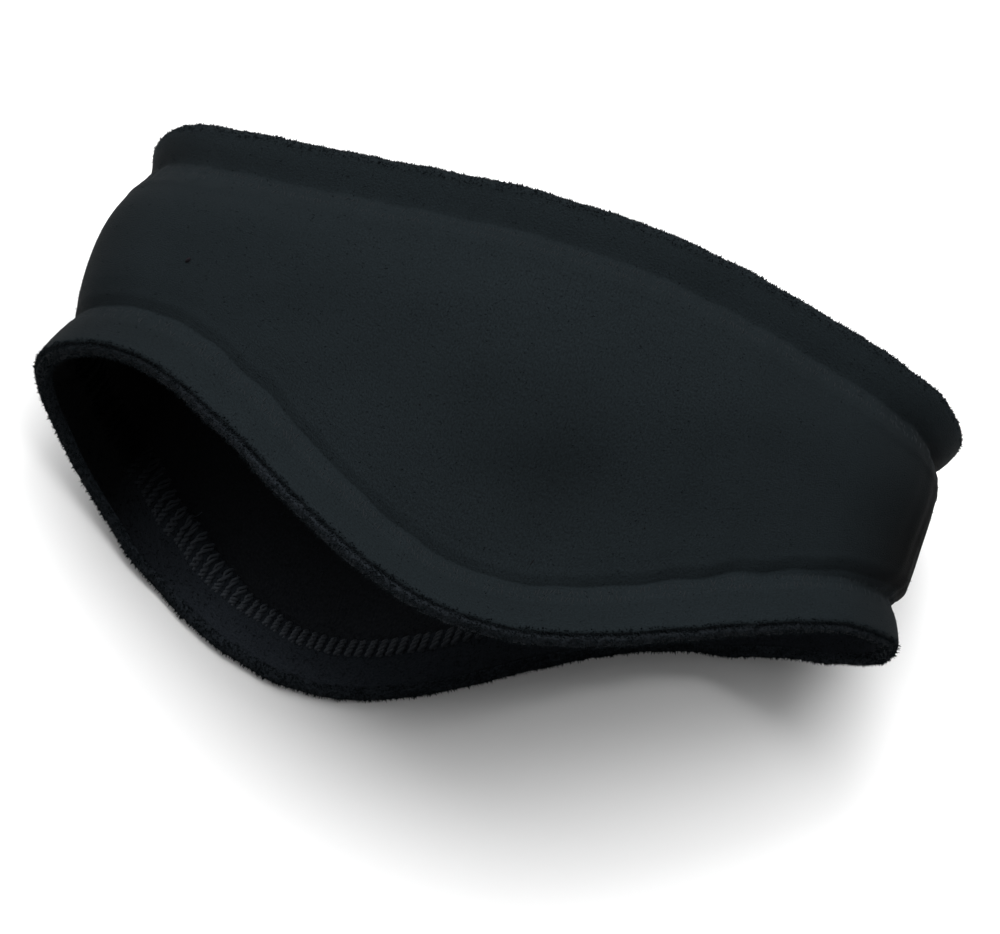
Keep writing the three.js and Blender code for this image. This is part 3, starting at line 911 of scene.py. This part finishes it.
for hem_node, seed in [("top_hem", 51), ("bottom_hem", 53)]:
    # The seen rows are the first ones, or the last ones where the section was turned round
    hidden = len(HEM_HIDDEN_ROWS) if hem_node == "top_hem" else 0
    seen = hidden + np.arange(len(HEM_SEEN_ROWS) - 1)
    tufts(
        hem_node + "_nap", scatter(hem_grids[hem_node], seen, 11000, seed),
        length=(0.5, 1.1), width=(0.3, 0.55), lift=(4, 45, 2), comb=(0.0, 1.6), seed=seed + 1,
        material=inner_nap, inside=True,
    )


# Lint and a thread's end
# A bit of brown lint, a few dark specks and a short dark hair cling to the upper wall's face. Inside, one
# fine end of the looper thread curls away from the seam.

# Each bit's distance along the loop and from the rim with the ear flaps, its length along and down
LINT_SPOT = [(229.9, 31.0, 0.9, 0.6)]
SPECKS = [(158.2, 45.0, 0.3, 0.3), (152.3, 50.0, 0.4, 0.1), (130.1, 65.0, 0.3, 0.3), (67.1, 50.0, 0.4, 0.2),
          (92.0, 31.0, 0.3, 0.4)]
HAIR = [(116.4, 22.4, -0.6, 2.2)]


def clinging_bits(name, bits, radius, material):
    """Short threads that lie on the face along straight lines between their two ends."""
    along, distance, reach_along, reach_down = np.array(bits).T[:, :, None]
    way = np.linspace(-0.5, 0.5, 6)
    paths, ups = on_cloth(along + reach_along * way, from_bottom, distance + reach_down * way, 0.1 * radius)
    piece = swept_threads(name, paths, ups, radius * np.array([0, 0.8, 1, 1, 0.8, 0]), 6, material)
    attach(piece, "root")


clinging_bits("lint_spot", LINT_SPOT, 0.95, sewing_thread("brown_cotton_lint", "120e13", 1.0))
dark_lint = sewing_thread("dark_lint", "020203", 0.95)
clinging_bits("lint_specks", SPECKS, 0.22, dark_lint)
clinging_bits("clinging_hair", HAIR, 0.17, dark_lint)

way = np.linspace(0, 1, 14)
end_along = 338.2 + 3.4 * way + 0.7 * np.sin(np.pi * way)
end_distance = 16.6 + 4.4 * way - 0.4 * np.sin(2 * np.pi * way)
end_path, end_ups = on_cloth(end_along, from_bottom, end_distance, CLOTH + 0.2 + 0.5 * np.sin(np.pi * way))
end_radii = 0.11 * np.concatenate([[0], np.ones(12), [0]])
thread_end = swept_threads("loose_thread_end", end_path[None], end_ups[None], end_radii, 6, looper_thread)
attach(thread_end, "root")


# The table that it lies on, the lights and the camera
# It lies on a matt white card, under three soft boxes: a broad one from above, one from the crown side
# and the forehead, and a weak low one. The camera takes the photo's view.

bpy.context.scene.view_settings.view_transform = "Standard"

TABLE_HALF = 3000.0
table_corners = TABLE_HALF * np.array([[-1, -1, 0], [1, -1, 0], [1, 1, 0], [-1, 1, 0]], float)
card = bpy.data.materials.new("matt_white_card")
card.use_nodes = True
card.node_tree.nodes["Principled BSDF"].inputs["Base Color"].default_value = rgb("f5f5f5")
card.node_tree.nodes["Principled BSDF"].inputs["Roughness"].default_value = 1.0
card.node_tree.nodes["Principled BSDF"].inputs["Specular IOR Level"].default_value = 0.0
table = add_mesh("table", table_corners, np.array([[0, 1, 2, 3]]), [card])

world = bpy.data.worlds.new("studio")
bpy.context.scene.world = world
world.use_nodes = True
world.node_tree.nodes["Background"].inputs["Color"].default_value = (1, 1, 1, 1)
world.node_tree.nodes["Background"].inputs["Strength"].default_value = 0.2


def soft_box(name, azimuth, elevation, distance, size, power):
    """A square soft box that faces the headband from a distance. Azimuth 0 is the crown side (+Y), 90
    the forehead side (-X)."""
    turn, rise = math.radians(azimuth), math.radians(elevation)
    direction = (-math.sin(turn) * math.cos(rise), math.cos(turn) * math.cos(rise), math.sin(rise))
    light = bpy.data.lights.new(name, "AREA")
    light.energy = power
    light.size = size
    lamp = bpy.data.objects.new(name, light)
    lamp.location = Vector(direction) * distance
    lamp.rotation_euler = lamp.location.to_track_quat("Z", "Y").to_euler()
    bpy.context.scene.collection.objects.link(lamp)


soft_box("key_soft_box", -28, 72, 1.8, 1.5, 38.0)
soft_box("back_soft_box", 36, 48, 1.8, 1.5, 30.0)
soft_box("low_soft_box", 90, 20, 1.8, 1.2, 6.0)

# The camera looks down at the headband from the side of the ear flaps, and is rolled
CAMERA_TILT = math.radians(22)
CAMERA_ROLL = math.radians(20.5)
CAMERA_DISTANCE = 1961.0
PIXELS_PER_MM = 3.66
IMAGE_WIDTH, IMAGE_HEIGHT = 1000, 934
# A place on the table under the middle of the headband, and its pixel
PIVOT = np.array([0.93, 1.34, 0.0])
PIVOT_PIXEL = (466.1, 516.7)

towards_camera = np.array([0, -math.sin(CAMERA_TILT), math.cos(CAMERA_TILT)])
level_right = np.array([1.0, 0, 0])
level_up = np.cross(towards_camera, level_right)
picture_right = math.cos(CAMERA_ROLL) * level_right + math.sin(CAMERA_ROLL) * level_up
picture_up = math.cos(CAMERA_ROLL) * level_up - math.sin(CAMERA_ROLL) * level_right
target = PIVOT + picture_right * (IMAGE_WIDTH / 2 - PIVOT_PIXEL[0]) / PIXELS_PER_MM
target = target - picture_up * (IMAGE_HEIGHT / 2 - PIVOT_PIXEL[1]) / PIXELS_PER_MM
stand = PIVOT + towards_camera * CAMERA_DISTANCE
forward = Vector(target - stand).normalized()
side = forward.cross(Vector(picture_up)).normalized()

camera = bpy.data.cameras.new("camera")
camera.sensor_width = 36
camera.lens = 36 * PIXELS_PER_MM * CAMERA_DISTANCE / IMAGE_WIDTH
camera.clip_end = 20
camera_object = bpy.data.objects.new("camera", camera)
axes = Matrix((side, side.cross(forward), -forward)).transposed().to_4x4()
camera_object.matrix_world = Matrix.Translation(Vector(stand * MM)) @ axes
bpy.context.scene.collection.objects.link(camera_object)
bpy.context.scene.camera = camera_object
